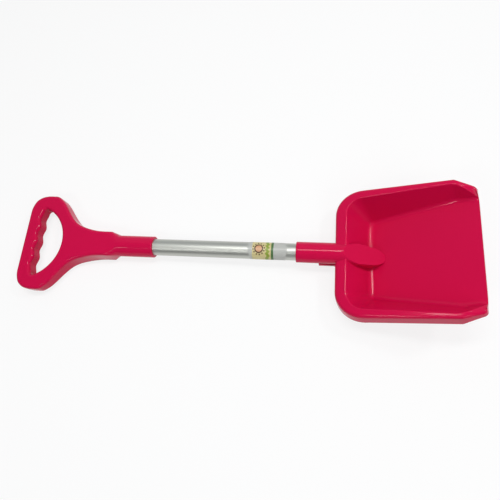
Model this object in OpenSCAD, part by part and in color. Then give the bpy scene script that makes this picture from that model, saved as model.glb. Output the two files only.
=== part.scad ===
// Children's sand shovel: a moulded scoop blade and a moulded D-grip pressed onto an aluminium tube.
// X runs from the grip to the digging edge, Y is across, Z is up, and the shovel lies on its back.

/* [Tube] */
// Outside diameter of the aluminium tube
tube_d = 22; // [20:0.5:24]
// Wall of the tube
tube_wall = 1.2; // [0.8:0.1:2]
// Bare tube between the two sockets
tube_bare = 190; // [150:1:240]
// Tube hidden inside the grip
tube_in_grip = 60; // [45:1:64]
// Tube hidden inside the blade's socket
tube_in_blade = 55; // [40:1:58]
// Gap between the tube and each bore, on the radius
seat_gap = 0.15; // [0.05:0.05:0.3]

/* [Blade] */
// Flat floor, from its back edge to the digging edge
floor_len = 136; // [120:1:155]
// Width over the skirts
blade_w = 170.6; // [162:0.2:185]
// Width between the rim's inner edges at the back
rim_w_back = 142; // [130:1:146]
// Width between the rim's inner edges where the front corners start
rim_w_front = 151; // [140:1:152]
// Height of the rim above the floor at the back
pan_depth = 49; // [42:1:54]
// Angle that the rim falls towards the floor, from back to front
rim_fall = 10.5; // [8:0.5:12]
// Angle between the floor and the tube
floor_pitch = 30; // [24:1:34]
// Lean of the pan's walls, measured from square to the rim
wall_draft = 23; // [18:1:25]
// Thickness of the moulded wall
shell_t = 2.6; // [2:0.1:3.2]
// Floor's back edge, ahead of the socket's mouth
floor_ahead = 97; // [92:1:104]
// Floor's back edge, below the tube's axis
floor_below = 27; // [24:1:30]

/* [Rim] */
// Flange at the back, from its inner to its outer corner
flange_back = 14.4; // [12:0.2:17]
// Depth of the skirt that hangs from the flange
skirt_h = 16; // [12:0.5:20]
// Outward lean of the skirt
skirt_draft = 15; // [10:1:18]
// Round on the flange's outer edge
edge_r = 5; // [3.5:0.1:5.4]
// Round on the flange's inner edge
lip_r = 2; // [1:0.1:2.4]
// Round between the floor and the walls
floor_r = 7; // [4:0.5:8]
// Plan radius of the rim's inner corners
rim_corner_r = 21; // [16:0.5:26]
// Plan radius of the floor's back corners
floor_corner_r = 7; // [6:0.5:10]
// Length of the cut-off front corners
front_cut = 25; // [16:1:28]
// How far the outer edge of each front corner is cut in
front_cut_in = 8.4; // [6:0.1:12]
// How far the rim's inner edge runs in on the way to the digging edge
front_inner_in = 13; // [9:0.5:15]
// Plan radius where the front corner meets the digging edge
front_corner_r = 3.5; // [3:0.5:7]
// Height of the rim's inner edge where it ends at the digging edge
front_lip = 0.8; // [0.6:0.1:1.5]
// Height of the rim's outer edge where it ends at the digging edge
front_rise = 12; // [10:0.5:14]
// Depth of the skirt where it ends at the digging edge
front_skirt = 9.5; // [8:0.5:11]

/* [Socket] */
// Outside diameter of the blade's socket
socket_d = 27; // [26:0.5:30]
// Round on the mouth of each socket
mouth_r = 1.2; // [0.6:0.1:1.5]
// Where the tongue's flat leaves the socket's top, ahead of the tube's end
tongue_start = 4; // [3:0.5:8]
// How far the tongue's tip reaches over the floor
tongue_reach = 21; // [16:0.5:26]
// Length of the tongue's rounded tip
tongue_tip = 33; // [26:1:38]
// Step from the socket's side in to the tongue's side
tongue_inset = 0.6; // [0.3:0.1:1.5]
// Side web under the socket: how far it starts behind the skirt
web_len = 21; // [16:1:30]
// Side web: width on each side of the socket
web_side = 0.5; // [0.2:0.1:5]
// Side web: round that joins it to the skirt
web_r = 4; // [3:0.5:9]
// Side web: thickness
web_t = 5; // [3.5:0.5:6]

/* [Grip] */
// Loop and neck together, from the outer edge to the neck's end
grip_len = 124.9; // [115:0.1:140]
// Width of the loop
grip_w = 132.8; // [122:0.2:150]
// Thickness of the loop
loop_t = 15.5; // [14:0.5:18]
// Thickness of the neck
neck_t = 27; // [26:0.5:32]
// Round on the grip's upper edges
grip_r = 4; // [2.5:0.25:4.5]
// Bar that the hand closes on, from the outer edge to the ridges between the fingers
bar_w = 19.5; // [17:0.5:24]
// Radius of the curved side of the hand hole
hole_r = 51; // [47:1:53]
// Centre of that curve, from the outer edge
hole_centre = 4; // [2:0.1:6]
// Radius of the hand hole's two corners
hole_corner_r = 4; // [3:0.5:7]
// Depth of the finger grooves
groove = 2.6; // [1:0.1:3]
// Number of finger grooves
groove_count = 4; // [3:1:5]
// Walls of the hollow underside
core_wall = 2.6; // [2:0.1:3.4]
// Skin left above the hollow underside
core_skin = 3; // [2.4:0.1:4]
// Thickness of the stiffening ribs
rib_t = 1.8; // [1.4:0.1:2.6]
// Outside diameter of the grip's ferrule
ferrule_d = 28.4; // [27:0.2:30]
// Straight length of the ferrule
ferrule_len = 50; // [40:1:56]
// Taper between the neck and the ferrule
neck_taper = 9; // [6:0.5:12]
// Solid plastic past the end of the tube
grip_stop = 4; // [3:0.5:8]

/* [Label] */
// Length of the label along the tube
label_len = 51; // [47:1:60]
// Gap between the label and the socket of the blade
label_gap = 11; // [6:1:30]
// Angle that the label wraps round the tube
label_wrap = 216; // [180:2:240]
// Radius of the label's bowed ends
label_end_r = 22; // [16:1:23]
// Thickness of the label
label_t = 0.25; // [0.2:0.05:0.4]

/* [Hidden] */

pink = [0.78, 0.09, 0.27];
round_fn = 96;
arc_steps = 6;
foot_steps = 7;
lip_steps = 4;
edge_steps = 6;
tip_steps = 14;
tip_bluntness = 0.75;
overrun = 1;
skin_gap = 0.05;
limit_share = 0.45;
fine_r = shell_t / 4;

tube_r = tube_d / 2;
bore_r = tube_r + seat_gap;
socket_r = socket_d / 2;
ferrule_r = ferrule_d / 2;

// Plain helpers
function lerp(a, b, t) = a + (b - a) * t;
function unit(v) = v / norm(v);
function turned(v, a) = [v.x * cos(a) - v.y * sin(a), v.x * sin(a) + v.y * cos(a)];
function right_of(v) = [v.y, -v.x];
function clamp01(t) = max(0, min(1, t));
function reversed(list) = [for (i = [len(list) - 1 : -1 : 0]) list[i]];
// 0 to 1 with a parabolic start over the first part of the way
function eased(t, start) = (t < start ? t * t / (2 * start) : t - start / 2) / (1 - start / 2);
function smooth(t) = let (c = clamp01(t)) c * c * (3 - 2 * c);

// Half the angle at corner q of the path p, q, s
function half_angle(p, q, s) = acos(unit(p - q) * unit(s - q)) / 2;
// Radius that still fits the side from q to s
function fitted(p, q, s, r) = min(r, limit_share * norm(s - q) * tan(half_angle(p, q, s)));
// The same on both sides of corner q
function fitted_both(p, q, s, r) = min(fitted(p, q, s, r), fitted(s, q, p, r));
// Points of the arc of radius r that rounds corner q
function corner_arc(p, q, s, r, steps = arc_steps) =
    let (u = unit(p - q), v = unit(s - q), half = half_angle(p, q, s))
    let (centre = q + unit(u + v) * r / sin(half), start = q + u * r / tan(half) - centre)
    let (sweep = (u.x * v.y - u.y * v.x > 0 ? -1 : 1) * (180 - 2 * half))
    [for (k = [0 : steps]) centre + turned(start, sweep * k / steps)];
// Corner q moved to the right of the path by t
function moved(p, q, s, t) =
    let (a = right_of(unit(q - p)), b = right_of(unit(s - q))) q + (a + b) * t / (1 + a * b);

// Pan: the floor lies in the XY plane with its back edge at X = 0
rim_half_back = rim_w_back / 2;
rim_half_front = rim_w_front / 2;
flare = skirt_h * tan(skirt_draft);
rim_back = -pan_depth * tan(wall_draft - rim_fall);
cut_start = floor_len - front_cut;
corner_centre = [rim_back + rim_corner_r, rim_half_back - rim_corner_r];
side_flange = blade_w / 2 - flare - rim_half_back;
side_stations = 3;
corner_stations = 14;
cut_stations = 12;
cut_lead_share = 0.1;
cut_ease_share = 0.1;
cut_bend = 1.6;
fill_start_share = 0.6;
side_first_share = 0.22;

function rim_height(x) = pan_depth - tan(rim_fall) * (x - rim_back);
function rim_half(x) =
    lerp(rim_half_back, rim_half_front, clamp01((x - corner_centre.x) / (cut_start - corner_centre.x)));
function foot_half(x) = rim_half(x) - rim_height(x) * tan(wall_draft);
foot_centre = [floor_corner_r, foot_half(floor_corner_r) - floor_corner_r];

// A station is [foot, rim corner, outward direction, rim height, flange width, skirt depth,
// [tilt of the flange, tilt of the skirt], point on the flat floor, filled share of the rim's hollow]
function cut_station(t) =
    let (x = cut_start + front_cut * t, high = rim_height(cut_start))
    let (e = eased(clamp01((t - cut_lead_share) / (1 - cut_lead_share)), cut_ease_share))
    let (h = lerp(high, front_lip, t * t), skirt = lerp(skirt_h, front_skirt, sqrt(t)))
    let (u = clamp01((x - floor_len + front_corner_r) / front_corner_r))
    let (tuck = front_corner_r * (1 - sqrt(1 - u * u)))
    let (inner = rim_half_front - front_inner_in * pow(t, cut_bend))
    let (outer = blade_w / 2 - flare - front_cut_in * e - tuck)
    let (flange = [outer - inner, lerp(high, front_rise, e) - h])
    [[x, inner - h * tan(wall_draft)], [x, inner], [0, 1], h, norm(flange), skirt,
     [atan2(flange.y, flange.x), 0], [x, inner - h * tan(wall_draft) - floor_corner_r],
     smooth((t - fill_start_share) / (1 - fill_start_share))];
function side_station(x) =
    [[x, foot_half(x)], [x, rim_half(x)], [0, 1], rim_height(x),
     blade_w / 2 - flare - rim_half(x), skirt_h, [0, 0], [x, foot_half(x) - floor_corner_r], 0];
function corner_station(a) =
    let (n = [cos(a), sin(a)], rim = corner_centre + rim_corner_r * n)
    [foot_centre + floor_corner_r * n, rim, n, rim_height(rim.x),
     lerp(side_flange, flange_back, smooth((a - 90) / 90)), skirt_h,
     [-rim_fall * n.x, -rim_fall * n.x], foot_centre, 0];

half_stations = concat(
    [for (k = [cut_stations : -1 : 0]) cut_station(1 - pow(1 - k / cut_stations, 2))],
    [for (k = [1 : side_stations])
        side_station(lerp(cut_start, side_first_share * floor_len, k / side_stations))],
    [for (k = [0 : corner_stations]) corner_station(90 + 90 * k / corner_stations)]);
function across(p) = [p.x, -p.y];
function mirrored(s) =
    [across(s[0]), across(s[1]), across(s[2]), s[3], s[4], s[5], s[6], across(s[7]), s[8]];
stations = concat(half_stations, [for (s = reversed(half_stations)) mirrored(s)]);

// Closed section of the wall at a station, as [out, up] pairs from the foot; its underside is drawn
// straight from floor to hem as the hollow under the rim fills up
function section(s) =
    let (run = (s[1] - s[0]) * s[2], foot = [0, 0], lip = [run, s[3]])
    let (edge = lip + turned([s[4], 0], s[6].x))
    let (hem = edge + turned([s[5] * tan(skirt_draft), -s[5]], s[6].y))
    let (hem_in = hem - turned([shell_t / cos(skirt_draft), 0], s[6].y))
    let (inside = [-floor_corner_r, 0], below = inside - [0, shell_t])
    let (r_foot = fitted(inside, foot, lip, floor_r))
    let (r_edge = fitted_both(lip, edge, hem, edge_r), r_lip = fitted_both(foot, lip, edge, lip_r))
    let (foot_b = moved(inside, foot, lip, shell_t), lip_b = moved(foot, lip, edge, shell_t))
    let (edge_b = moved(lip, edge, hem, shell_t))
    let (under = concat([below],
        corner_arc(below, foot_b, lip_b, fitted(below, foot_b, lip_b, r_foot + shell_t), foot_steps),
        corner_arc(foot_b, lip_b, edge_b, fitted_both(foot_b, lip_b, edge_b, fine_r), lip_steps),
        corner_arc(lip_b, edge_b, hem_in, fitted_both(lip_b, edge_b, hem_in, edge_r - shell_t), edge_steps),
        [hem_in]))
    let (last = len(under) - 1)
    concat([inside], corner_arc(inside, foot, lip, r_foot, foot_steps),
           corner_arc(foot, lip, edge, r_lip, lip_steps), corner_arc(lip, edge, hem, r_edge, edge_steps),
           [hem], [for (k = [last : -1 : 0]) lerp(under[k], lerp(below, hem_in, k / last), s[8])]);
// The same section in place, slid along the wall where foot and rim corner aren't abreast
function placed(s) =
    let (run = (s[1] - s[0]) * s[2], slide = s[1] - s[0] - s[2] * run)
    let (ring = section(s), last = len(ring) - 1)
    [for (k = [0 : last])
        let (p = ring[k], q = s[0] + s[2] * p.x + slide * clamp01(p.x / run), flat = k == 0 || k == last)
        flat ? [s[7].x, s[7].y, p.y] : [q.x, q.y, p.y]];

// Swept pan: one ring of points a station, joined along the rim and closed over the floor
module pan() {
    rings = [for (s = stations) placed(s)];
    m = len(rings[0]);
    n = len(rings);
    polyhedron(
        points = [for (ring = rings) each ring],
        faces = concat(
            [for (i = [0 : n - 2], k = [0 : m - 2])
                [i * m + k, (i + 1) * m + k, (i + 1) * m + k + 1, i * m + k + 1]],
            [for (i = [0 : n / 2 - 2]) let (j = n - 1 - i) [j * m, (j - 1) * m, (i + 1) * m, i * m]],
            [for (i = [0 : n / 2 - 2]) let (j = n - 1 - i)
                [(i + 1) * m - 1, (i + 2) * m - 1, j * m - 1, (j + 1) * m - 1]],
            [for (k = [0 : m / 2 - 2], e = [0, (n - 1) * m])
                let (q = [e + k, e + k + 1, e + m - 2 - k, e + m - 1 - k]) e == 0 ? q : reversed(q)],
            [[0, m - 1, n * m - 1, (n - 1) * m]]),
        convexity = 8);
}

// Shaft frame: X along the tube from the ferrule's mouth, Z = 0 on the tube's axis
socket_mouth = tube_bare;
tube_front = socket_mouth + tube_in_blade;
floor_back = [socket_mouth + floor_ahead, -floor_below];
function from_floor(p) = floor_back + turned(p, floor_pitch);

module on_floor() {
    translate([floor_back.x, 0, floor_back.y]) rotate([0, -floor_pitch, 0]) children();
}
// Stands a 2D side view, drawn as [X, Z], up across the shovel's width
module side_view(width) {
    rotate([90, 0, 0]) linear_extrude(width, center = true) children();
}
// A round bar along X with a rounded start
module barrel(x0, x1, r) {
    translate([x0, 0, 0]) rotate([90, 0, 90]) rotate_extrude($fn = round_fn)
        polygon(concat([[0, 0]],
            [for (k = [0 : arc_steps]) let (a = 90 * k / arc_steps)
                [r - mouth_r + mouth_r * sin(a), mouth_r - mouth_r * cos(a)]],
            [[r, x1 - x0], [0, x1 - x0]]));
}
module bore(x0, x1) {
    translate([x0, 0, 0]) rotate([0, 90, 0]) cylinder(r = bore_r, h = x1 - x0, $fn = round_fn);
}

// Tongue: the socket runs on into the pan and is cut to a slope that meets the floor
slope_top = [tube_front + tongue_start, socket_r];
slope_end = from_floor([tongue_reach, 0]);
// The slope and the tongue run on to the middle of the floor's thickness
slope_fall = turned(slope_top - slope_end, -floor_pitch).y;
slope_in = slope_end + (slope_end - slope_top) * shell_t / 2 / slope_fall;
wall_top = from_floor([rim_back - shell_t / 2, pan_depth - shell_t]);
wall_foot = from_floor([-shell_t / 2, -shell_t / 2]);
wall_slope = (wall_top - wall_foot) / (wall_top.y - wall_foot.y);
socket_end = wall_foot.x + wall_slope.x * (-socket_r - wall_foot.y);
tip_start = slope_end.x - tongue_inset - tongue_tip;
tongue_half = socket_r - tongue_inset;

module socket() {
    intersection() {
        barrel(socket_mouth, socket_end, socket_r);
        side_view(blade_w) polygon([[socket_mouth - overrun, -socket_r - overrun],
            [socket_mouth - overrun, socket_r + overrun], slope_top + [0, overrun], slope_top,
            slope_end, [slope_end.x, -socket_r - overrun]]);
    }
}
module tongue() {
    intersection() {
        side_view(blade_w) polygon(concat([slope_top, slope_in],
            corner_arc(slope_in, wall_foot, wall_top, floor_r + shell_t / 2), [wall_top]));
        translate([0, 0, slope_in.y - floor_below]) linear_extrude(floor_below - slope_in.y)
            polygon(concat([[tube_front, -tongue_half]],
                [for (k = [-tip_steps : tip_steps]) let (a = 90 * k / tip_steps)
                    [tip_start + tongue_tip * cos(a),
                     tongue_half * sign(a) * pow(abs(sin(a)), tip_bluntness)]],
                [[tube_front, tongue_half]]));
    }
}
// Web on both sides of the socket, with a hollow curve into the skirt
skirt_back = from_floor([rim_back, pan_depth] - turned([flange_back, 0], -rim_fall));
web_half = socket_r + web_side;
web_raise_share = 0.25;
web_steps = 12;
module web() {
    translate([0, 0, web_raise_share * web_t - socket_r]) linear_extrude(web_t)
        for (side = [0, 1]) mirror([0, side])
            polygon(concat([[skirt_back.x - web_len, 0], [skirt_back.x - web_len, socket_r / 2],
                [skirt_back.x - web_len + 2 * web_side, web_half]],
                [for (k = [0 : web_steps]) let (a = 90 - 90 * k / web_steps)
                    [skirt_back.x + shell_t - web_r + web_r * cos(a), web_half + web_r - web_r * sin(a)]],
                [[skirt_back.x + 2 * shell_t, web_half + web_r], [wall_top.x, web_half], [wall_top.x, 0]]));
}

module blade() color(pink) on_ground() difference() {
    union() {
        on_floor() pan();
        socket();
        tongue();
        web();
    }
    bore(socket_mouth - overrun, tube_front);
}

// Grip: half outline as shares of the grip's length and half width, from the outer edge to the neck
outline_shares = [[0, 0.64], [0.012, 0.765], [0.042, 0.882], [0.098, 0.962], [0.165, 0.996], [0.225, 1],
    [0.29, 0.99], [0.345, 0.922], [0.378, 0.86], [0.417, 0.768], [0.46, 0.653], [0.513, 0.527],
    [0.56, 0.44], [0.604, 0.386], [0.645, 0.35], [0.72, 0.304], [0.79, 0.275], [0.865, 0.257],
    [1, 0.252]];
spline_steps = 3;
// Point at t between the second and third of four points
function spline(p0, p1, p2, p3, t) = (2 * p1 + (p2 - p0) * t + (2 * p0 - 5 * p1 + 4 * p2 - p3) * t * t
    + (3 * p1 - p0 - 3 * p2 + p3) * t * t * t) / 2;
outline_points = [for (s = outline_shares) [s.x * grip_len, s.y * grip_w / 2]];
outline_last = len(outline_points) - 1;
outline_lead_share = 0.48;
function outline_at(i) = i < 0 ? [0, outline_lead_share * grip_w / 2]
    : i > outline_last ? outline_points[outline_last] + [neck_taper, 0] : outline_points[i];
half_outline = [for (i = [0 : outline_last - 1], k = [0 : spline_steps - 1])
    spline(outline_at(i - 1), outline_at(i), outline_at(i + 1), outline_at(i + 2), k / spline_steps)];
grip_half = concat(half_outline, [outline_points[outline_last]]);
grip_n = len(grip_half);
neck_half = outline_points[outline_last].y;
// Outward direction of the half outline at point i
function grip_normal(i) =
    i == 0 ? [-1, 0] : i == grip_n - 1 ? [0, 1]
    : -right_of(unit(grip_half[i + 1] - grip_half[i - 1]));
// The neck is thicker than the loop, and their tops are level, so the loop lies above the tube's axis
neck_blend_shares = [0.25, 0.85];
function neck_share(x) =
    smooth((x / grip_len - neck_blend_shares.x) / (neck_blend_shares.y - neck_blend_shares.x));
function grip_half_t(x) = lerp(loop_t, neck_t, neck_share(x)) / 2;
function grip_middle(x) = neck_t / 2 - grip_half_t(x);
loop_rise = grip_middle(0);

// Solid between levels; a level is [inset, side of the middle plane, height above that face]
module grip_loft(levels) {
    n = grip_n;
    m = 2 * n;
    last = len(levels) - 1;
    polyhedron(
        points = [for (l = levels) each concat(
            [for (i = [0 : n - 1]) let (p = grip_half[i] - l.x * grip_normal(i))
                [p.x, p.y, grip_middle(p.x) + l.y * grip_half_t(p.x) + l.z]],
            [for (i = [n - 1 : -1 : 0]) let (p = grip_half[i] - l.x * grip_normal(i))
                [p.x, -p.y, grip_middle(p.x) + l.y * grip_half_t(p.x) + l.z]])],
        faces = concat(
            [for (j = [0 : last - 1], i = [0 : m - 1])
                [j * m + i, j * m + (i + 1) % m, (j + 1) * m + (i + 1) % m, (j + 1) * m + i]],
            [for (i = [0 : n - 2]) [m - 1 - i, m - 2 - i, i + 1, i]],
            [for (i = [0 : n - 2]) let (b = last * m) [b + i, b + i + 1, b + m - 2 - i, b + m - 1 - i]]),
        convexity = 6);
}
// Levels of a wall that rises to a rounded upper edge
function rounded_levels(low) = concat([low], [for (k = [0 : arc_steps]) let (a = 90 * k / arc_steps)
    [grip_r * (1 - cos(a)), 1, grip_r * (sin(a) - 1)]]);

// Hand hole: a curved side, two round corners and a grooved side, grown by d
corner_x = bar_w + hole_corner_r;
corner_y = sqrt(pow(hole_r - hole_corner_r, 2) - pow(corner_x - hole_centre, 2));
corner_a = atan2(corner_y, corner_x - hole_centre);
groove_steps = 8;
hole_steps = 24;
function hole_outline(d) = concat(
    [for (k = [0 : hole_steps]) let (a = lerp(-corner_a, corner_a, k / hole_steps))
        [hole_centre + (hole_r + d) * cos(a), (hole_r + d) * sin(a)]],
    [for (k = [1 : arc_steps]) let (a = lerp(corner_a, 180, k / arc_steps))
        [corner_x + (hole_corner_r + d) * cos(a), corner_y + (hole_corner_r + d) * sin(a)]],
    [for (k = [1 : groove_count * groove_steps - 1]) let (a = 360 * k / groove_steps)
        [bar_w - d - groove * (1 - cos(a)) / 2,
         lerp(corner_y, -corner_y, k / (groove_count * groove_steps))]],
    [for (k = [0 : arc_steps - 1]) let (a = lerp(180, 360 - corner_a, k / arc_steps))
        [corner_x + (hole_corner_r + d) * cos(a), -corner_y + (hole_corner_r + d) * sin(a)]]);
module hole_loft(levels) {
    rings = [for (l = levels) [for (p = hole_outline(l.x)) [p.x, p.y, loop_rise + l.y * loop_t / 2 + l.z]]];
    m = len(rings[0]);
    last = len(rings) - 1;
    polyhedron(
        points = [for (ring = rings) each ring],
        faces = concat(
            [for (j = [0 : last - 1], i = [0 : m - 1])
                [j * m + i, (j + 1) * m + i, (j + 1) * m + (i + 1) % m, j * m + (i + 1) % m]],
            [[for (i = [0 : m - 1]) i]],
            [[for (i = [m - 1 : -1 : 0]) last * m + i]]),
        convexity = 4);
}
// Hollow underside with ribs across it
hollow_end = grip_len + neck_taper + ferrule_len - tube_in_grip - grip_stop;
rib_pitch = 2 * corner_y / groove_count;
module hollow() {
    difference() {
        grip_loft([[core_wall, -1, -overrun], [core_wall, 1, -core_skin]]);
        hole_loft([[core_wall, -1, -loop_t], [core_wall, 1, loop_t]]);
        for (k = [-groove_count / 2 : groove_count / 2])
            translate([-overrun, k * rib_pitch - rib_t / 2, -neck_t]) cube([grip_len, rib_t, 2 * neck_t]);
        translate([hollow_end, -grip_w / 2, -neck_t]) cube([grip_len, grip_w, 2 * neck_t]);
    }
}
grip_start = -(grip_len + neck_taper + ferrule_len);
module neck_end() {
    hull() {
        intersection() {
            grip_loft(rounded_levels([0, -1, 0]));
            translate([grip_len - neck_taper, -grip_w / 2, -neck_t]) cube([neck_taper, grip_w, 2 * neck_t]);
        }
        translate([grip_len + neck_taper, 0, 0]) rotate([0, 90, 0])
            cylinder(r = ferrule_r, h = overrun, $fn = round_fn / 2);
    }
}
module grip() color(pink) on_ground() difference() {
    union() {
        translate([grip_start, 0, 0]) difference() {
            union() {
                grip_loft(rounded_levels([0, -1, 0]));
                neck_end();
            }
            hole_loft(concat([[0, -1, -neck_t]], [for (k = [0 : arc_steps]) let (a = 90 * k / arc_steps)
                [grip_r * (1 - cos(a)), 1, grip_r * (sin(a) - 1)]], [[grip_r, 1, overrun]]));
            hollow();
        }
        rotate([0, 0, 180]) barrel(0, ferrule_len + neck_taper / 2, ferrule_r);
    }
    bore(-tube_in_grip, overrun);
}

tube_len = tube_in_grip + tube_bare + tube_in_blade;
module tube() color([0.75, 0.76, 0.77]) on_ground() translate([-tube_in_grip, 0, 0]) rotate([0, 90, 0])
    difference() {
        cylinder(r = tube_r, h = tube_len, $fn = round_fn);
        translate([0, 0, -overrun])
            cylinder(r = tube_r - tube_wall, h = tube_len + 2 * overrun, $fn = round_fn);
    }

// Label: a thin sleeve over the upper side of the tube, with bowed ends
label_end = socket_mouth - label_gap;
label_start = label_end - label_len;
module label() color([0.86, 0.87, 0.86]) on_ground() intersection() {
    translate([label_start, 0, 0]) rotate([90, 0, 90])
        rotate([0, 0, 90 - label_wrap / 2]) rotate_extrude(angle = label_wrap, $fn = round_fn)
            translate([tube_r + skin_gap, 0]) square([label_t, label_len]);
    union() {
        for (x = [label_start + label_end_r, label_end - label_end_r])
            translate([x, 0, -tube_d]) cylinder(r = label_end_r, h = 2 * tube_d, $fn = round_fn);
        translate([label_start + label_end_r, -tube_r - overrun, -tube_d])
            cube([label_len - 2 * label_end_r, tube_d + 2 * overrun, 2 * tube_d]);
    }
}

// The shovel rests on the neck's underside and on the round under the pan's back edge
bottom_centre = from_floor([floor_r / tan((90 + wall_draft - rim_fall) / 2), floor_r]);
bottom_r = floor_r + shell_t;
neck_rest = [grip_start + neck_blend_shares.y * grip_len, -neck_t / 2];
rest_line = bottom_centre - neck_rest;
rest_tilt = atan2(rest_line.y, rest_line.x) - asin(bottom_r / norm(rest_line));
function grounded(p) = turned(p - neck_rest, -rest_tilt);
rear_edge = grounded([grip_start, loop_rise + loop_t / 2 - grip_r]).x;
front_edge = grounded(from_floor([floor_len, -shell_t])).x;
module on_ground() {
    translate([-(rear_edge + front_edge) / 2, 0, 0])
        rotate([0, rest_tilt, 0]) translate([-neck_rest.x, 0, -neck_rest.y]) children();
}

blade();
grip();
tube();
label();
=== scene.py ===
"""Looks of the children's sand shovel: plastics, aluminium tube, printed label, studio and camera."""

import math

import bpy
from bpy.props import FloatProperty, FloatVectorProperty, PointerProperty
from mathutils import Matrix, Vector


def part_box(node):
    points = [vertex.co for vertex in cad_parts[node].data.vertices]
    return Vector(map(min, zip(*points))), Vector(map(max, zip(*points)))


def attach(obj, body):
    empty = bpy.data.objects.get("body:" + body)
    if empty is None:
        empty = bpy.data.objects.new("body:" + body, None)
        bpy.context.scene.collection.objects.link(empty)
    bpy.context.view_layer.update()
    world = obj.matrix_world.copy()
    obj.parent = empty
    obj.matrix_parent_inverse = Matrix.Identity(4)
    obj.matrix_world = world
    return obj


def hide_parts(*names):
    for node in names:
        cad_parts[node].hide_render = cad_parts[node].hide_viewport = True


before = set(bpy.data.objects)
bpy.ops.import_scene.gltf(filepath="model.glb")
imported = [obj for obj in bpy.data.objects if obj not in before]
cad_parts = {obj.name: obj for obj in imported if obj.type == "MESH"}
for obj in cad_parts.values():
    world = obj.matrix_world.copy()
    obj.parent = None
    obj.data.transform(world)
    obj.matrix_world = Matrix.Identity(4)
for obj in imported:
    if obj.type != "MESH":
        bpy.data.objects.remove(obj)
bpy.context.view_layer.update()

bl_info = {
    "name": "Sand Shovel",
    "version": (1, 0, 0),
    "blender": (4, 5, 0),
    "location": "View3D > Sidebar > Shovel",
    "description": "Finishes the shovel's blade, grip, tube and label and sets up the studio",
    "category": "Object",
}

# Width of the photograph in pixels, and the camera's sensor and nearest sight, in mm and metres
PHOTO_SIZE = 500
SENSOR = 36.0
NEAREST_SIGHT = 0.01

# Copied meshes: corners closer than this many metres are joined, and so are faces that meet at less than
# this angle
WELD_DISTANCE = 0.000002
FLAT_ANGLE = math.radians(0.3)

# Edges: one sharper than the first angle gets a round of so many faces, and shading breaks at the other
# angles on the blade, on the grip, and on the tube and label
ROUND_ANGLE = math.radians(38.0)
ROUND_SEGMENTS = 2
BLADE_BREAK = math.radians(26.5)
GRIP_BREAK = math.radians(32.0)
TURNED_BREAK = math.radians(30.0)

# Filling at the top of the tongue, in metres: length, width and depth, and the middle of its upper face
FILLING_SIZE = Vector((0.006, 0.0256, 0.003))
FILLING_PLACE = Vector((0.16305, 0.0, 0.027633))

# Height of the waves that the mould leaves in each plastic, in metres
BLADE_WAVE = 0.00004
GRIP_WAVE = 0.00006

# Middle values of the noises, about which tint and gloss drift
NOISE_MIDDLE = 0.5
RUB_MIDDLE = 0.45

# Drawn metal: stretch of its lines, shares of the lines and the haze in the spread of gloss, and how far
# the tint follows that spread
LINE_STRETCH = (14.0, 1500.0, 1500.0)
LINE_SHARE = 0.6
HAZE_SHARE = 0.4
TINT_SHARE = 0.8

# Label print, in shares of the label's length from the end nearer the grip
FIELD_SHARES = (0.12, 0.66)
LINE_SHARES = (0.60, 0.66)
WAVE_SHARES = (0.47, 0.55)
SUN_SHARE = 0.29
RIPPLE_SHARE = 0.018
# Radians of the wave's ripple to a metre across the label
RIPPLE_PITCH = 1300.0
# Ring and rays in shares of the sun's radius, the number of rays, and where the wave that makes them is cut
RING_SHARES = (0.72, 1.0)
RAY_SHARES = (1.12, 1.40)
RAY_COUNT = 12.0
RAY_CUT = 0.2

# Studio: width of the floor in metres and how much of it glows white, the Y of the unit directions between
# which the room brightens, and the room's colour
FLOOR_SIZE = 12.0
GLOW_SHARE = 0.80
ROOM_START = 0.1
ROOM_END = 0.65
ROOM_COLOUR = (0.93, 0.96, 1.0, 1.0)

# Lamps, in metres: name, place, the point that it faces, length and width, and the setting with its power
MIDDLE = (0.05, 0.0, 0.03)
PAN = (0.22, 0.0, 0.05)
TONGUE = (0.15, -0.04, 0.05)
LAMPS = (
    ("overhead lamp", (0.0, 0.24, 1.26), MIDDLE, (0.80, 0.14), "overhead_power"),
    ("right lamp", (0.90, 0.45, 1.18), MIDDLE, (0.18, 0.18), "right_power"),
    ("fill lamp", (0.72, -0.66, 0.86), PAN, (0.6, 0.6), "fill_power"),
    ("left lamp", (-0.42, -0.66, 1.02), TONGUE, (0.24, 0.24), "left_power"),
)

# Steps of the grid on which shader nodes stand, and places of a Mix node's colour sockets
GRID_STEP = (210, -230)
MIX_FACTOR, MIX_FIRST, MIX_SECOND, MIX_RESULT = 0, 6, 7, 2


class ShovelSizes(bpy.types.PropertyGroup):
    """Sizes of the details, in metres, and slopes"""

    blade_edge: FloatProperty(
        name="Blade edges", description="Width of the fine rounds on the blade's edges",
        default=0.0005, min=0.0, max=0.001, unit="LENGTH", precision=5)
    grip_edge: FloatProperty(
        name="Grip edges", description="Width of the fine rounds on the grip's edges",
        default=0.0006, min=0.0, max=0.001, unit="LENGTH", precision=5)
    shaft_tilt: FloatProperty(
        name="Shaft tilt", description="Slope of the tube as the shovel lies on its back",
        default=math.radians(2.227), subtype="ANGLE", unit="ROTATION")
    label_length: FloatProperty(
        name="Label length", description="Length of the label along the tube",
        default=0.051, min=0.03, max=0.08, unit="LENGTH", precision=4)
    sun_radius: FloatProperty(
        name="Sun radius", description="Radius of the label's printed sun",
        default=0.0058, min=0.002, max=0.008, unit="LENGTH", precision=4)
    tongue_slope: FloatProperty(
        name="Tongue slope", description="Slope of the tongue down into the pan",
        default=math.radians(25.865), subtype="ANGLE", unit="ROTATION")


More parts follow.
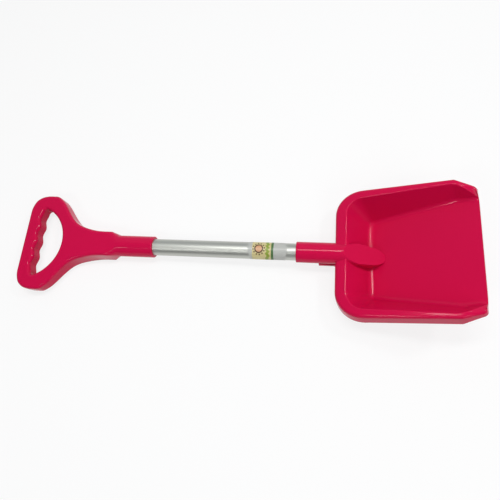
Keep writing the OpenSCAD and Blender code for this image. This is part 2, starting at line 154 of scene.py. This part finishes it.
class ShovelColours(bpy.types.PropertyGroup):
    """Colours of the finishes and of the floor"""

    blade: FloatVectorProperty(
        name="Blade", description="Pink of the blade's plastic", subtype="COLOR", size=3,
        min=0.0, max=1.0, default=(0.60, 0.0042, 0.060))
    grip: FloatVectorProperty(
        name="Grip", description="Pink of the grip's plastic", subtype="COLOR", size=3,
        min=0.0, max=1.0, default=(0.60, 0.0042, 0.062))
    metal: FloatVectorProperty(
        name="Tube", description="Grey of the drawn aluminium", subtype="COLOR", size=3,
        min=0.0, max=1.0, default=(0.55, 0.56, 0.52))
    film: FloatVectorProperty(
        name="Label film", description="Silver grey of the label's film", subtype="COLOR", size=3,
        min=0.0, max=1.0, default=(0.48, 0.49, 0.46))
    field: FloatVectorProperty(
        name="Label field", description="Cream field of the label's print", subtype="COLOR", size=3,
        min=0.0, max=1.0, default=(0.62, 0.54, 0.26))
    sun: FloatVectorProperty(
        name="Label sun", description="Tan of the printed sun", subtype="COLOR", size=3,
        min=0.0, max=1.0, default=(0.66, 0.36, 0.19))
    ring: FloatVectorProperty(
        name="Label ring", description="Dark brown of the sun's ring and rays", subtype="COLOR", size=3,
        min=0.0, max=1.0, default=(0.10, 0.045, 0.02))
    wave: FloatVectorProperty(
        name="Label wave", description="Yellow green of the printed wave", subtype="COLOR", size=3,
        min=0.0, max=1.0, default=(0.26, 0.34, 0.04))
    leaf: FloatVectorProperty(
        name="Label green", description="Dark green of the printed line", subtype="COLOR", size=3,
        min=0.0, max=1.0, default=(0.07, 0.16, 0.05))
    floor: FloatVectorProperty(
        name="Floor", description="Pale floor", subtype="COLOR", size=3,
        min=0.0, max=1.0, default=(0.9, 0.9, 0.9))


class ShovelStudio(bpy.types.PropertyGroup):
    """Camera, lamps and the light of the room"""

    camera_place: FloatVectorProperty(
        name="Camera place", description="Where the camera stands", subtype="TRANSLATION",
        unit="LENGTH", size=3, default=(0.08924, -0.1452, 0.55546))
    camera_turn: FloatVectorProperty(
        name="Camera turn", description="Rotation of the camera about X, Y and Z", subtype="EULER",
        unit="ROTATION", size=3,
        default=(math.radians(17.7808), math.radians(4.1807), math.radians(3.8434)))
    focal_pixels: FloatProperty(
        name="Focal length", description="Focal length in pixels of the photograph", default=425.1)
    centre_x: FloatProperty(
        name="Centre X", description="Column where the camera's axis meets the photograph",
        default=265.9)
    centre_y: FloatProperty(
        name="Centre Y", description="Row where the camera's axis meets the photograph",
        default=234.0)
    overhead_power: FloatProperty(
        name="Overhead lamp", description="Power of the long lamp over the shaft",
        default=7.2, unit="POWER")
    right_power: FloatProperty(
        name="Right lamp", description="Power of the small lamp on the far side, past the blade",
        default=4.0, unit="POWER")
    left_power: FloatProperty(
        name="Left lamp", description="Power of the small lamp on the near side, past the grip",
        default=2.4, unit="POWER")
    fill_power: FloatProperty(
        name="Fill lamp", description="Power of the large lamp on the near side, past the blade",
        default=3.0, unit="POWER")
    near_light: FloatProperty(
        name="Near light", description="Brightness of the room on the near side",
        default=0.16, min=0.0)
    far_light: FloatProperty(
        name="Far light", description="Brightness of the room on the far side",
        default=0.54, min=0.0)


def new_node(tree, kind, column, row, label="", **settings):
    """Adds a shader node on a loose grid and sets its plain settings"""
    node = tree.nodes.new(kind)
    node.location = (GRID_STEP[0] * column, GRID_STEP[1] * row)
    node.label = label
    for name, value in settings.items():
        setattr(node, name, value)
    return node


def set_inputs(node, **values):
    """Sets unlinked sockets by name, with _ for a space"""
    for name, value in values.items():
        node.inputs[name.replace("_", " ")].default_value = value
    return node


def math_node(tree, operation, column, row, first, second=None, label=""):
    """Adds a Math node whose inputs are sockets or numbers, and returns its output"""
    node = new_node(tree, "ShaderNodeMath", column, row, label, operation=operation)
    for socket, value in zip(node.inputs, (first, second)):
        if value is None:
            continue
        if isinstance(value, bpy.types.NodeSocket):
            tree.links.new(value, socket)
        else:
            socket.default_value = value
    return node.outputs[0]


def colour_mix(tree, column, row, factor, first, second, label="", blend="MIX"):
    """Adds a colour Mix node whose inputs are sockets or values, and returns its output"""
    node = new_node(tree, "ShaderNodeMix", column, row, label, data_type="RGBA", blend_type=blend)
    for place, value in ((MIX_FACTOR, factor), (MIX_FIRST, first), (MIX_SECOND, second)):
        socket = node.inputs[place]
        if isinstance(value, bpy.types.NodeSocket):
            tree.links.new(value, socket)
        elif isinstance(value, float):
            socket.default_value = value
        else:
            socket.default_value = (*value, 1.0)
    return node.outputs[MIX_RESULT]


def new_group(name, inputs, outputs):
    """Makes a shader node group with named sockets, or returns it alone if it is there"""
    group = bpy.data.node_groups.get(name)
    if group:
        return group, None, None
    group = bpy.data.node_groups.new(name, "ShaderNodeTree")
    for socket, kind, default in inputs:
        item = group.interface.new_socket(socket, in_out="INPUT", socket_type=kind)
        if default is not None:
            item.default_value = default
    for socket, kind in outputs:
        group.interface.new_socket(socket, in_out="OUTPUT", socket_type=kind)
    start = new_node(group, "NodeGroupInput", -1, 0)
    end = new_node(group, "NodeGroupOutput", 6, 0)
    return group, start, end


def moulded_surface():
    """Group for moulded plastic: soft tint drift, a faint orange peel, rub marks and slow waves"""
    group, start, end = new_group(
        "Moulded Surface",
        [("Vector", "NodeSocketVector", None), ("Colour", "NodeSocketColor", (0.8, 0.8, 0.8, 1.0)),
         ("Roughness", "NodeSocketFloat", 0.3), ("Drift", "NodeSocketFloat", 0.04),
         ("Peel Scale", "NodeSocketFloat", 900.0), ("Rub", "NodeSocketFloat", 0.06)],
        [("Colour", "NodeSocketColor"), ("Roughness", "NodeSocketFloat"),
         ("Height", "NodeSocketFloat"), ("Wave", "NodeSocketFloat")])
    if start is None:
        return group
    link = group.links.new
    cloud = set_inputs(new_node(group, "ShaderNodeTexNoise", 0, 0, "Tint drift"), Scale=14.0, Detail=3.0)
    peel = set_inputs(
        new_node(group, "ShaderNodeTexNoise", 0, 1, "Orange peel"), Detail=2.0, Roughness=0.5)
    marks = set_inputs(
        new_node(group, "ShaderNodeTexNoise", 0, 2, "Rub marks"),
        Scale=60.0, Detail=6.0, Roughness=0.7, Distortion=0.6)
    wave = set_inputs(new_node(group, "ShaderNodeTexNoise", 0, 4, "Mould wave"), Scale=42.0, Detail=1.0)
    for node in (cloud, peel, marks, wave):
        link(start.outputs["Vector"], node.inputs["Vector"])
    link(start.outputs["Peel Scale"], peel.inputs["Scale"])
    tint = math_node(group, "SUBTRACT", 1, 1, cloud.outputs["Fac"], NOISE_MIDDLE)
    drift = math_node(group, "MULTIPLY", 1, 0, tint, start.outputs["Drift"])
    bright = math_node(group, "ADD", 2, 0, drift, 1.0)
    tinted = colour_mix(
        group, 3, 0, 1.0, start.outputs["Colour"], bright, "Drifted colour", "MULTIPLY")
    link(tinted, end.inputs["Colour"])
    mark = math_node(group, "SUBTRACT", 1, 2, marks.outputs["Fac"], RUB_MIDDLE)
    rub = math_node(group, "MULTIPLY", 2, 2, mark, start.outputs["Rub"])
    link(math_node(group, "ADD", 3, 2, start.outputs["Roughness"], rub), end.inputs["Roughness"])
    link(peel.outputs["Fac"], end.inputs["Height"])
    link(wave.outputs["Fac"], end.inputs["Wave"])
    return group


def drawn_lines():
    """Group for drawn metal: fine lines along X with a little spread in gloss"""
    group, start, end = new_group(
        "Drawn Lines",
        [("Vector", "NodeSocketVector", None), ("Colour", "NodeSocketColor", (0.8, 0.8, 0.8, 1.0)),
         ("Roughness", "NodeSocketFloat", 0.3), ("Spread", "NodeSocketFloat", 0.12)],
        [("Colour", "NodeSocketColor"), ("Roughness", "NodeSocketFloat"),
         ("Height", "NodeSocketFloat")])
    if start is None:
        return group
    link = group.links.new
    along = set_inputs(
        new_node(group, "ShaderNodeMapping", 0, 0, "Stretched along the tube"), Scale=LINE_STRETCH)
    lines = set_inputs(
        new_node(group, "ShaderNodeTexNoise", 1, 0, "Lines"), Scale=1.0, Detail=4.0, Roughness=0.6)
    haze = set_inputs(new_node(group, "ShaderNodeTexNoise", 1, 1, "Haze"), Scale=45.0, Detail=4.0)
    link(start.outputs["Vector"], along.inputs["Vector"])
    link(along.outputs["Vector"], lines.inputs["Vector"])
    link(start.outputs["Vector"], haze.inputs["Vector"])
    both = math_node(
        group, "ADD", 2, 1,
        math_node(group, "MULTIPLY", 2, 2, lines.outputs["Fac"], LINE_SHARE),
        math_node(group, "MULTIPLY", 2, 3, haze.outputs["Fac"], HAZE_SHARE))
    uneven = math_node(group, "SUBTRACT", 3, 2, both, NOISE_MIDDLE)
    spread = math_node(group, "MULTIPLY", 3, 1, uneven, start.outputs["Spread"])
    link(math_node(group, "ADD", 4, 1, start.outputs["Roughness"], spread), end.inputs["Roughness"])
    tint = math_node(group, "MULTIPLY", 4, 3, spread, TINT_SHARE)
    shade = math_node(group, "ADD", 4, 2, tint, 1.0)
    tinted = colour_mix(
        group, 5, 0, 1.0, start.outputs["Colour"], shade, "Lined colour", "MULTIPLY")
    link(tinted, end.inputs["Colour"])
    link(lines.outputs["Fac"], end.inputs["Height"])
    return group


def new_material(name, group, values, relief, column=1, **surface):
    """Makes a material whose colour, gloss and bump come from a group on Object coordinates"""
    material = bpy.data.materials.new(name)
    material.use_nodes = True
    tree = material.node_tree
    shader = tree.nodes["Principled BSDF"]
    shader.location = (GRID_STEP[0] * (column + 2), 0)
    tree.nodes["Material Output"].location = (GRID_STEP[0] * (column + 4), 0)
    place = new_node(tree, "ShaderNodeTexCoord", -1, 0, name="Place")
    finish = new_node(tree, "ShaderNodeGroup", column, 0, group.name, name="Finish", node_tree=group)
    fine = new_node(tree, "ShaderNodeBump", column + 1, 1, name="Fine relief")
    set_inputs(finish, **values)
    set_inputs(fine, **relief)
    tree.links.new(place.outputs["Object"], finish.inputs["Vector"])
    tree.links.new(finish.outputs["Colour"], shader.inputs["Base Color"])
    tree.links.new(finish.outputs["Roughness"], shader.inputs["Roughness"])
    tree.links.new(finish.outputs["Height"], fine.inputs["Height"])
    tree.links.new(fine.outputs["Normal"], shader.inputs["Normal"])
    set_inputs(shader, **surface)
    return material


def plastic(name, colour, wave_height):
    """Glossy moulded polypropylene in one of the shovel's pinks, with waves so many metres high"""
    material = new_material(
        name, moulded_surface(),
        dict(Colour=(*colour, 1.0), Roughness=0.11, Drift=0.05, Peel_Scale=700.0, Rub=0.05),
        dict(Strength=0.06, Distance=0.0002), IOR=1.49, Specular_IOR_Level=0.16)
    tree = material.node_tree
    wavy = set_inputs(
        new_node(tree, "ShaderNodeBump", 2, 2, "Mould wave"), Strength=1.0, Distance=wave_height)
    tree.links.new(tree.nodes["Finish"].outputs["Wave"], wavy.inputs["Height"])
    tree.links.new(wavy.outputs["Normal"], tree.nodes["Fine relief"].inputs["Normal"])
    return material


def drawn_aluminium(colour):
    """Satin aluminium with the fine lines of drawing"""
    return new_material(
        "Satin Drawn Aluminium", drawn_lines(),
        dict(Colour=(*colour, 1.0), Roughness=0.46, Spread=0.08),
        dict(Strength=0.015, Distance=0.0001), Metallic=1.0)


def way_on_label(tree, tilt):
    """Ways on the label in metres: along the tube from the end nearer the grip, and to the side"""
    turn = set_inputs(
        new_node(tree, "ShaderNodeMapping", 0, 3, "Along the tube"), Rotation=(0.0, tilt, 0.0))
    tree.links.new(tree.nodes["Place"].outputs["Object"], turn.inputs["Vector"])
    split = new_node(tree, "ShaderNodeSeparateXYZ", 1, 3)
    tree.links.new(turn.outputs["Vector"], split.inputs["Vector"])
    low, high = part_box("label")
    start = math.cos(tilt) * low.x + math.sin(tilt) * (low.z + high.z) / 2
    along = math_node(tree, "SUBTRACT", 2, 3, split.outputs["X"], start, "Way along the label")
    return along, split.outputs["Y"]


def band(tree, row, value, shares, size, label):
    """Mask that is 1 where a value lies between two shares of a size"""
    above = math_node(tree, "GREATER_THAN", 4, row, value, shares[0] * size)
    below = math_node(tree, "LESS_THAN", 4, row + 1, value, shares[1] * size)
    return math_node(tree, "MULTIPLY", 5, row, above, below, label)


def wave_mask(tree, along, side, length):
    """Mask of the wavy band that runs across the label"""
    turns = math_node(tree, "MULTIPLY", 3, 9, side, RIPPLE_PITCH)
    ripple = math_node(
        tree, "MULTIPLY", 3, 7, math_node(tree, "SINE", 3, 8, turns), RIPPLE_SHARE * length, "Ripple")
    bent = math_node(tree, "SUBTRACT", 4, 9, along, ripple)
    return band(tree, 7, bent, WAVE_SHARES, length, "Wave")


def sun_masks(tree, along, side, length, radius):
    """Masks of the sun's rays, of its disc and of the ring at the disc's edge"""
    from_sun = math_node(tree, "SUBTRACT", 2, 11, along, SUN_SHARE * length)
    squares = math_node(
        tree, "ADD", 3, 12,
        math_node(tree, "MULTIPLY", 2, 12, from_sun, from_sun),
        math_node(tree, "MULTIPLY", 2, 14, side, side))
    reach = math_node(tree, "SQRT", 3, 11, squares, label="Way from the sun")
    disc = math_node(tree, "LESS_THAN", 4, 11, reach, radius, "Disc")
    ring = band(tree, 13, reach, RING_SHARES, radius, "Ring")
    angle = math_node(tree, "ARCTAN2", 3, 15, side, from_sun, "Angle round the sun")
    turns = math_node(tree, "MULTIPLY", 3, 17, angle, RAY_COUNT)
    spokes = math_node(
        tree, "GREATER_THAN", 4, 17, math_node(tree, "SINE", 3, 16, turns), RAY_CUT, "Spokes")
    belt = band(tree, 15, reach, RAY_SHARES, radius, "Ray belt")
    return math_node(tree, "MULTIPLY", 6, 15, spokes, belt, "Rays"), disc, ring


def printed_film(sizes, colours):
    """Silver film with a printed cream field, a wave, a line and a sun with a ring and rays"""
    film = new_material(
        "Printed Label Film", moulded_surface(),
        dict(Colour=(*colours.film, 1.0), Roughness=0.38, Drift=0.04, Peel_Scale=1500.0, Rub=0.05),
        dict(Strength=0.05, Distance=0.0001), column=12, IOR=1.5)
    tree = film.node_tree
    length = sizes.label_length
    along, side = way_on_label(tree, sizes.shaft_tilt)
    field = band(tree, 3, along, FIELD_SHARES, length, "Field")
    line = band(tree, 5, along, LINE_SHARES, length, "Line")
    wave = wave_mask(tree, along, side, length)
    rays, disc, ring = sun_masks(tree, along, side, length, sizes.sun_radius)
    tone = colour_mix(tree, 6, 3, field, colours.film, colours.field, "Field on film")
    inks = (
        (wave, colours.wave), (line, colours.leaf), (rays, colours.ring),
        (disc, colours.sun), (ring, colours.ring))
    for column, (mask, ink) in enumerate(inks, start=7):
        tone = colour_mix(tree, column, 3, mask, tone, ink)
    tree.links.new(tone, tree.nodes["Finish"].inputs["Colour"])
    return film


def select_only(piece):
    """Leaves one object selected and active"""
    bpy.ops.object.select_all(action="DESELECT")
    piece.select_set(True)
    bpy.context.view_layer.objects.active = piece


def join_faces(piece, loose=False):
    """Makes each flat area one face, after loose triangles are joined at their corners"""
    select_only(piece)
    bpy.ops.object.mode_set(mode="EDIT")
    bpy.ops.mesh.select_all(action="SELECT")
    if loose:
        bpy.ops.mesh.remove_doubles(threshold=WELD_DISTANCE)
        bpy.ops.mesh.customdata_custom_splitnormals_clear()
    bpy.ops.mesh.dissolve_limited(angle_limit=FLAT_ANGLE)
    bpy.ops.object.mode_set(mode="OBJECT")


def apply_modifier(piece, kind, name, **settings):
    """Adds a modifier to the active piece, with its settings, and applies it"""
    modifier = piece.modifiers.new(name, kind)
    for setting, value in settings.items():
        setattr(modifier, setting, value)
    bpy.ops.object.modifier_apply(modifier=modifier.name)


def copy_of_node(node, name):
    """Copies a CAD node into a new piece and joins its loose triangles"""
    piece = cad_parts[node].copy()
    piece.data = piece.data.copy()
    piece.parent = None
    piece.name = piece.data.name = name
    for key in list(piece.keys()):
        del piece[key]
    bpy.context.scene.collection.objects.link(piece)
    join_faces(piece, loose=True)
    return piece


def fill_tongue(blade, slope):
    """Closes the small step where the socket's end meets the tongue, level with the tongue's slope"""
    bpy.ops.mesh.primitive_cube_add(size=1.0, location=FILLING_PLACE, rotation=(0.0, slope, 0.0))
    block = bpy.context.object
    block.scale = FILLING_SIZE
    block.location -= block.rotation_euler.to_matrix() @ Vector((0.0, 0.0, FILLING_SIZE.z / 2))
    bpy.ops.object.transform_apply(location=True, rotation=True, scale=True)
    select_only(blade)
    apply_modifier(
        blade, "BOOLEAN", "Tongue filling", operation="UNION", solver="EXACT", object=block)
    bpy.data.objects.remove(block, do_unlink=True)
    join_faces(blade)


def soften_edges(piece, width, break_angle):
    """Rounds the sharp edges that a mould leaves and evens out the shading"""
    select_only(piece)
    apply_modifier(
        piece, "BEVEL", "Edge rounds", width=width, segments=ROUND_SEGMENTS, limit_method="ANGLE",
        angle_limit=ROUND_ANGLE, miter_outer="MITER_ARC")
    bpy.ops.object.shade_smooth_by_angle(angle=break_angle)
    apply_modifier(piece, "WEIGHTED_NORMAL", "Even shading", keep_sharp=True)


def round_copy(node, name):
    """Copies a turned CAD node and shades its facets as one round"""
    piece = copy_of_node(node, name)
    bpy.ops.object.shade_smooth_by_angle(angle=TURNED_BREAK)
    return piece


def dress(piece, node, material):
    """Gives a finished piece its material and its place in the frame"""
    piece.data.materials.clear()
    piece.data.materials.append(material)
    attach(piece, "root")
    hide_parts(node)


class SHOVEL_OT_blade(bpy.types.Operator):
    """Make the blade with its rim, socket and tongue"""

    bl_idname = "shovel.blade"
    bl_label = "Blade"

    def execute(self, context):
        sizes = context.scene.shovel_sizes
        colours = context.scene.shovel_colours
        blade = copy_of_node("blade", "scoop_blade")
        fill_tongue(blade, sizes.tongue_slope)
        soften_edges(blade, sizes.blade_edge, BLADE_BREAK)
        dress(blade, "blade", plastic("Pink Blade Plastic", colours.blade, BLADE_WAVE))
        return {"FINISHED"}


class SHOVEL_OT_grip(bpy.types.Operator):
    """Make the D-shaped grip with its neck and ferrule"""

    bl_idname = "shovel.grip"
    bl_label = "Grip"

    def execute(self, context):
        sizes = context.scene.shovel_sizes
        colours = context.scene.shovel_colours
        grip = copy_of_node("grip", "hand_grip")
        soften_edges(grip, sizes.grip_edge, GRIP_BREAK)
        dress(grip, "grip", plastic("Pink Grip Plastic", colours.grip, GRIP_WAVE))
        return {"FINISHED"}


class SHOVEL_OT_tube(bpy.types.Operator):
    """Make the tube with its satin drawn aluminium"""

    bl_idname = "shovel.tube"
    bl_label = "Tube"

    def execute(self, context):
        metal = drawn_aluminium(context.scene.shovel_colours.metal)
        dress(round_copy("tube", "aluminium_tube"), "tube", metal)
        return {"FINISHED"}


class SHOVEL_OT_label(bpy.types.Operator):
    """Make the label with its silver film and its printed sun, wave and line"""

    bl_idname = "shovel.label"
    bl_label = "Label"

    def execute(self, context):
        film = printed_film(context.scene.shovel_sizes, context.scene.shovel_colours)
        dress(round_copy("label", "printed_label"), "label", film)
        return {"FINISHED"}


def white_ground(colour):
    """Matte ground that glows white where the camera sees it, straight or by way of something glossy"""
    ground = bpy.data.materials.new("Pale Floor")
    ground.use_nodes = True
    tree = ground.node_tree
    tree.nodes.clear()
    matte = set_inputs(new_node(tree, "ShaderNodeBsdfDiffuse", 0, 0, "Matte"), Color=(*colour, 1.0))
    glow = set_inputs(
        new_node(tree, "ShaderNodeEmission", 0, 1, "White ground"),
        Color=(1.0, 1.0, 1.0, 1.0), Strength=1.0)
    path = new_node(tree, "ShaderNodeLightPath", 0, 2)
    mix = new_node(tree, "ShaderNodeMixShader", 4, 0)
    out = new_node(tree, "ShaderNodeOutputMaterial", 5, 0)
    clear = math_node(
        tree, "ADD", 1, 2, path.outputs["Is Glossy Ray"], path.outputs["Is Transmission Ray"])
    seen = math_node(tree, "ADD", 2, 2, path.outputs["Is Camera Ray"], clear)
    share = math_node(tree, "MULTIPLY", 3, 2, seen, GLOW_SHARE)
    for source, socket in zip((share, matte.outputs[0], glow.outputs[0]), mix.inputs):
        tree.links.new(source, socket)
    tree.links.new(mix.outputs[0], out.inputs["Surface"])
    return ground


def lay_floor(colour):
    """Adds the wide floor under the shovel"""
    bpy.ops.object.select_all(action="DESELECT")
    bpy.ops.mesh.primitive_plane_add(size=FLOOR_SIZE)
    floor = bpy.context.object
    floor.name = "floor"
    floor.data.materials.append(white_ground(colour))


def light_room(scene, near_light, far_light):
    """Adds a soft room that brightens from the near side to the far side"""
    world = bpy.data.worlds.new("Soft studio")
    scene.world = world
    world.use_nodes = True
    tree = world.node_tree
    tree.nodes.clear()
    way = new_node(tree, "ShaderNodeTexCoord", -1, 0)
    split = new_node(tree, "ShaderNodeSeparateXYZ", 0, 0)
    ramp = set_inputs(
        new_node(tree, "ShaderNodeMapRange", 1, 0, "From near side to far side",
                 interpolation_type="SMOOTHSTEP"),
        From_Min=ROOM_START, From_Max=ROOM_END, To_Min=near_light, To_Max=far_light)
    room = set_inputs(new_node(tree, "ShaderNodeBackground", 2, 0, "Room"), Color=ROOM_COLOUR)
    out = new_node(tree, "ShaderNodeOutputWorld", 3, 0)
    tree.links.new(way.outputs["Generated"], split.inputs["Vector"])
    tree.links.new(split.outputs["Y"], ramp.inputs["Value"])
    tree.links.new(ramp.outputs["Result"], room.inputs["Strength"])
    tree.links.new(room.outputs[0], out.inputs["Surface"])


def soft_lamp(name, place, target, size, power):
    """Adds a soft lamp, as long as size[0] and as wide as size[1], that points at a target"""
    bpy.ops.object.light_add(type="AREA", location=place)
    lamp = bpy.context.object
    lamp.name = lamp.data.name = name
    lamp.data.shape = "RECTANGLE"
    lamp.data.size, lamp.data.size_y = size
    lamp.data.energy = power
    lamp.visible_camera = False
    lamp.rotation_euler = (Vector(target) - Vector(place)).to_track_quat("-Z", "Y").to_euler()


def place_camera(scene, studio):
    """Adds the camera that fits the photograph"""
    bpy.ops.object.camera_add(location=studio.camera_place, rotation=studio.camera_turn)
    camera = bpy.context.object
    camera.name = "camera"
    camera.data.sensor_fit = "HORIZONTAL"
    camera.data.sensor_width = SENSOR
    camera.data.lens = studio.focal_pixels * SENSOR / PHOTO_SIZE
    camera.data.shift_x = (PHOTO_SIZE / 2 - studio.centre_x) / PHOTO_SIZE
    camera.data.shift_y = (studio.centre_y - PHOTO_SIZE / 2) / PHOTO_SIZE
    camera.data.clip_start = NEAREST_SIGHT
    scene.camera = camera


class SHOVEL_OT_stage(bpy.types.Operator):
    """Lay the pale floor, hang the lamps and place the camera"""

    bl_idname = "shovel.stage"
    bl_label = "Stage"

    def execute(self, context):
        scene = context.scene
        studio = scene.shovel_studio
        lay_floor(scene.shovel_colours.floor)
        light_room(scene, studio.near_light, studio.far_light)
        for name, place, target, size, setting in LAMPS:
            soft_lamp(name, place, target, size, getattr(studio, setting))
        place_camera(scene, studio)
        scene.view_settings.view_transform = "Standard"
        return {"FINISHED"}


class SHOVEL_PT_panel(bpy.types.Panel):
    """The shovel's pieces, sizes and colours in the sidebar"""

    bl_label = "Sand Shovel"
    bl_space_type = "VIEW_3D"
    bl_region_type = "UI"
    bl_category = "Shovel"

    def draw(self, context):
        scene = context.scene
        for group in (scene.shovel_sizes, scene.shovel_colours, scene.shovel_studio):
            box = self.layout.box()
            for name in group.bl_rna.properties.keys():
                if name not in ("rna_type", "name"):
                    box.prop(group, name)
        for operator in OPERATORS:
            self.layout.operator(operator.bl_idname)


GROUPS = (ShovelSizes, ShovelColours, ShovelStudio)
OPERATORS = (SHOVEL_OT_blade, SHOVEL_OT_grip, SHOVEL_OT_tube, SHOVEL_OT_label, SHOVEL_OT_stage)


def register():
    """Registers the classes and hangs the settings on the scene"""
    for cls in (*GROUPS, *OPERATORS, SHOVEL_PT_panel):
        bpy.utils.register_class(cls)
    bpy.types.Scene.shovel_sizes = PointerProperty(type=ShovelSizes)
    bpy.types.Scene.shovel_colours = PointerProperty(type=ShovelColours)
    bpy.types.Scene.shovel_studio = PointerProperty(type=ShovelStudio)


def unregister():
    """Takes the settings and the classes away again"""
    del bpy.types.Scene.shovel_sizes
    del bpy.types.Scene.shovel_colours
    del bpy.types.Scene.shovel_studio
    for cls in reversed((*GROUPS, *OPERATORS, SHOVEL_PT_panel)):
        bpy.utils.unregister_class(cls)


def main():
    """Makes the whole shovel"""
    register()
    bpy.ops.shovel.blade()
    bpy.ops.shovel.grip()
    bpy.ops.shovel.tube()
    bpy.ops.shovel.label()
    bpy.ops.shovel.stage()


if __name__ == "__main__":
    main()
